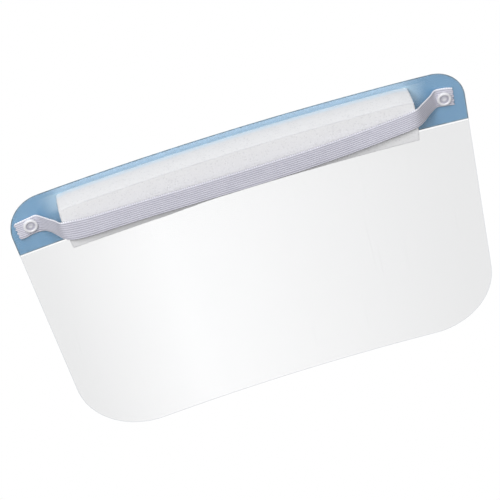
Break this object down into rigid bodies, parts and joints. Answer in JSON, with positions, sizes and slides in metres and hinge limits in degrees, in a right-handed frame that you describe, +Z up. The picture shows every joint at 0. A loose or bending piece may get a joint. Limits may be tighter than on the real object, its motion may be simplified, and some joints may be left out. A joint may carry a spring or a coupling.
{
  "type": "face shield",
  "caption": "Disposable face shield: curved clear visor with a blue brow band, foam forehead cushion and an elastic headband on snap rivets.",
  "frame": {"origin": "middle of the foam cushion's front face, where it meets the wearer's forehead", "axes": "+X to the wearer's left, +Y back towards the wearer, +Z up; the clear visor faces -Y, as it is worn"},
  "size_m": [0.3278, 0.0306, 0.22],
  "materials": {
    "clear_film": "gloss",
    "blue_film": "gloss",
    "foam": "matte",
    "tape": "matte",
    "elastic": "matte",
    "rivet_plastic": "satin"
  },
  "bodies": {
    "shield": {"visor_film": "clear_film", "brow_band": "blue_film", "foam_tape": "tape", "foam_cushion": "foam"},
    "headband": {"elastic_headband": "elastic"},
    "rivet_left": {"rivet_post_left": "rivet_plastic", "rivet_socket_left": "rivet_plastic"},
    "rivet_right": {"rivet_post_right": "rivet_plastic", "rivet_socket_right": "rivet_plastic"}
  },
  "joints": [
    {"name": "headband_stretch", "type": "slide", "parent": "shield", "child": "headband", "axis": [0, 1, 0], "range_m": [0, 0.18], "stiffness_N_per_m": 15, "deforming": ["elastic_headband"]},
    {"name": "rivet_turn_left", "type": "hinge", "parent": "shield", "child": "rivet_left", "pos_m": [0.1492, -0.01465, -0.0002], "axis": [-0.1089, 0.9941, 0], "continuous": true},
    {"name": "rivet_turn_right", "type": "hinge", "parent": "shield", "child": "rivet_right", "pos_m": [-0.1492, -0.01465, -0.0002], "axis": [0.1089, 0.9941, 0], "continuous": true}
  ]
}
